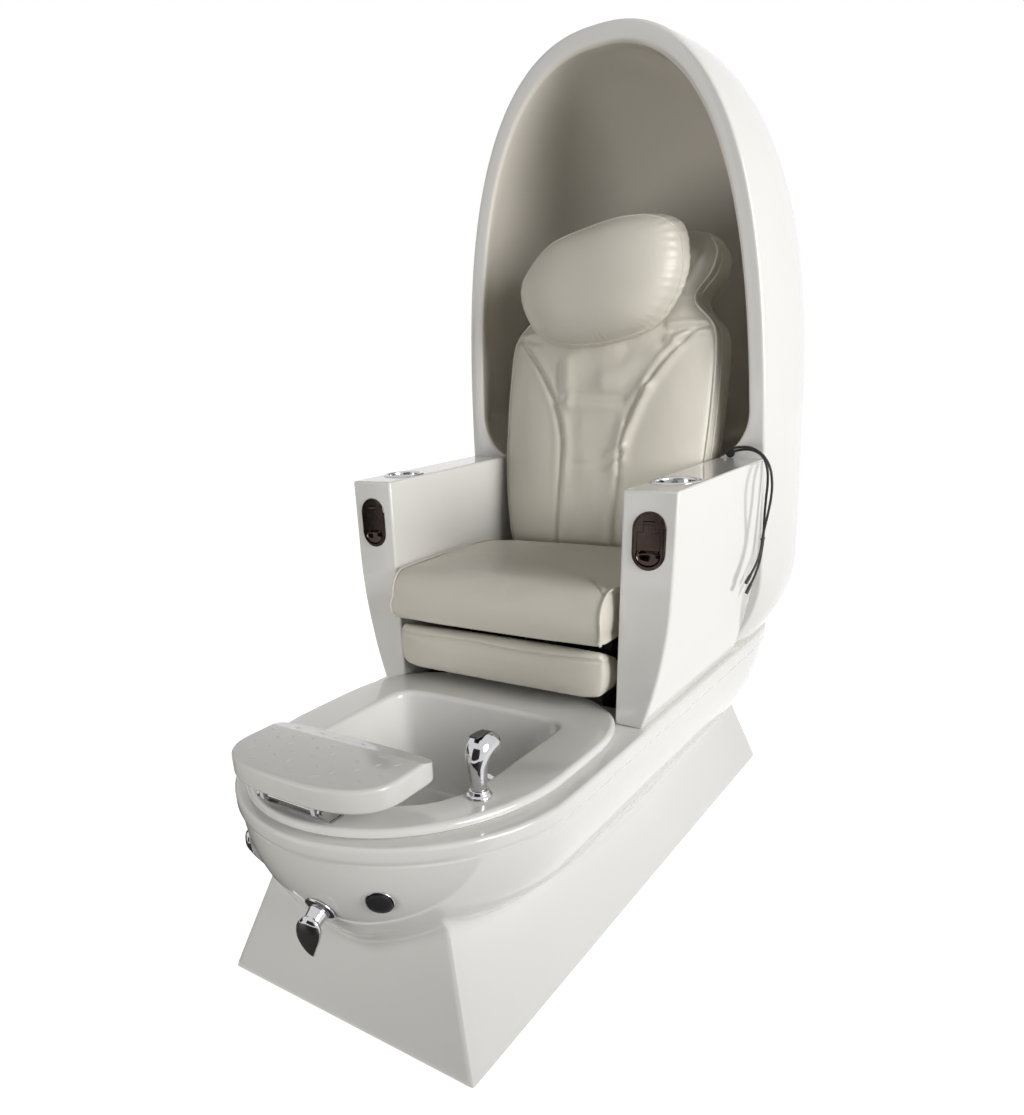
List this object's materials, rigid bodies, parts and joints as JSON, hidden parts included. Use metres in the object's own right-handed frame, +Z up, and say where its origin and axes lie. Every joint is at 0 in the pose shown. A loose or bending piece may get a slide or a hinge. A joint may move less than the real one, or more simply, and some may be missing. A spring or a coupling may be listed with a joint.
{
  "type": "pedicure chair",
  "caption": "Free-standing pedicure chair: flared pedestal, boat-shaped hull with a foot basin, box armrests, a sliding and reclining padded seat, and an egg-shaped hood.",
  "frame": {"origin": "on the floor, in the middle of the pedestal's footprint", "axes": "+Z up, -Y the way the chair faces, +X to the sitter's left"},
  "size_m": [0.787, 1.6091, 1.64],
  "materials": {
    "gelcoat": "polished white gel coat on glass fibre",
    "cream_leather": "soft cream synthetic leather over foam",
    "chrome": "polished chrome plate",
    "dark_nickel": "dark polished nickel plate",
    "painted_steel": "black painted steel",
    "zinc_steel": "zinc-plated steel",
    "valve_brass": "bare cast brass",
    "white_plastic": "glossy white moulding",
    "black_plastic": "black moulding",
    "black_rubber": "black rubber",
    "plywood": "bare plywood"
  },
  "bodies": {
    "base": {"base_shell": "gelcoat", "floor_frame": "painted_steel", "basin": "gelcoat", "drain_flange": "chrome", "jet_cover": "chrome", "jet_motor": "black_plastic", "fill_spout": "chrome", "sprayer_holder": "chrome", "front_valve_flange": "chrome", "front_valve_body": "valve_brass", "side_valve_flange": "chrome", "side_valve_body": "valve_brass", "jet_button_bezel": "chrome", "jet_bellows": "black_rubber", "footrest_bracket": "chrome", "footrest_pin": "chrome", "pod_shell": "gelcoat", "left_armrest": "gelcoat", "right_armrest": "gelcoat", "left_cup_holder": "chrome", "right_cup_holder": "chrome", "left_hook_plate": "dark_nickel", "right_hook_plate": "dark_nickel", "left_hook_pin": "dark_nickel", "right_hook_pin": "dark_nickel", "left_rail": "zinc_steel", "right_rail": "zinc_steel", "slide_actuator": "black_plastic", "cable_grommet": "black_rubber", "upper_cable": "black_rubber", "lower_cable": "black_rubber", "upper_connector": "black_plastic", "lower_connector": "black_plastic", "cable_tie": "black_plastic"},
    "carriage": {"left_runner": "painted_steel", "right_runner": "painted_steel", "slide_rod": "zinc_steel", "seat_board": "plywood", "seat_apron": "cream_leather", "seat_cushion": "cream_leather", "left_hinge_bracket": "zinc_steel", "right_hinge_bracket": "zinc_steel", "back_hinge_rod": "zinc_steel", "actuator_mount": "painted_steel"},
    "backrest": {"back_frame": "plywood", "back_cushion": "cream_leather", "head_pillow": "cream_leather"},
    "recline_cylinder": {"recline_actuator": "black_plastic"},
    "recline_ram": {"recline_rod": "zinc_steel"},
    "left_bag_hook": {"left_hook": "dark_nickel"},
    "right_bag_hook": {"right_hook": "dark_nickel"},
    "footrest": {"footrest_pad": "white_plastic"},
    "hand_sprayer": {"sprayer": "chrome"},
    "spray_lever": {"sprayer_lever": "black_plastic"},
    "front_lever": {"front_valve_lever": "chrome"},
    "side_lever": {"side_valve_lever": "chrome"},
    "air_button": {"jet_button": "black_plastic"},
    "plug": {"drain_plug": "chrome"},
    "impeller": {"jet_impeller": "white_plastic"}
  },
  "joints": [
    {"name": "seat_slide", "type": "slide", "parent": "base", "child": "carriage", "axis": [0, -1, 0], "range_m": [0, 0.12]},
    {"name": "backrest_recline", "type": "hinge", "parent": "carriage", "child": "backrest", "pos_m": [0, 0.36, 0.625], "axis": [-1, 0, 0], "range_deg": [0, 15]},
    {"name": "recline_swing", "type": "hinge", "parent": "carriage", "child": "recline_cylinder", "pos_m": [0, 0.52, 0.545], "axis": [-1, 0, 0], "range_deg": [0, 10.6]},
    {"name": "recline_stroke", "type": "slide", "parent": "recline_cylinder", "child": "recline_ram", "axis": [0, -0.2504, 0.9681], "range_m": [-0.0385, 0]},
    {"name": "left_hook_fold", "type": "hinge", "parent": "base", "child": "left_bag_hook", "pos_m": [0.312, -0.1638, 0.8188], "axis": [-1, 0, 0], "range_deg": [0, 85]},
    {"name": "right_hook_fold", "type": "hinge", "parent": "base", "child": "right_bag_hook", "pos_m": [-0.312, -0.1638, 0.8188], "axis": [-1, 0, 0], "range_deg": [0, 85]},
    {"name": "footrest_fold", "type": "hinge", "parent": "base", "child": "footrest", "pos_m": [0, -0.782, 0.481], "axis": [1, 0, 0], "range_deg": [0, 75]},
    {"name": "sprayer_lift", "type": "slide", "parent": "base", "child": "hand_sprayer", "axis": [0, 0, 1], "range_m": [0, 0.3]},
    {"name": "sprayer_press", "type": "hinge", "parent": "hand_sprayer", "child": "spray_lever", "pos_m": [0.217, -0.549, 0.5572], "axis": [1, 0, 0], "range_deg": [0, 6], "stiffness_Nm_per_rad": 0.3},
    {"name": "front_valve_turn", "type": "hinge", "parent": "base", "child": "front_lever", "pos_m": [0.02169, -0.76998, 0.28], "axis": [0.07, -0.9036, -0.4226], "range_deg": [0, 90]},
    {"name": "side_valve_turn", "type": "hinge", "parent": "base", "child": "side_lever", "pos_m": [-0.24587, -0.635, 0.287], "axis": [0.7326, 0.4757, 0.4868], "range_deg": [0, 90]},
    {"name": "air_button_press", "type": "slide", "parent": "base", "child": "air_button", "axis": [-0.4539, 0.8541, 0.254], "range_m": [0, 0.004], "stiffness_N_per_m": 400},
    {"name": "plug_lift", "type": "slide", "parent": "base", "child": "plug", "axis": [0, 0, 1], "range_m": [0, 0.008]},
    {"name": "impeller_spin", "type": "hinge", "parent": "base", "child": "impeller", "pos_m": [0.17167, -0.38, 0.345], "axis": [-0.9728, 0, 0.2316], "continuous": true}
  ],
  "couplings": [
    {"joint": "recline_swing", "follows": "backrest_recline", "ratio": 0.695},
    {"joint": "recline_stroke", "follows": "backrest_recline", "m_per_rad": -0.1443}
  ]
}
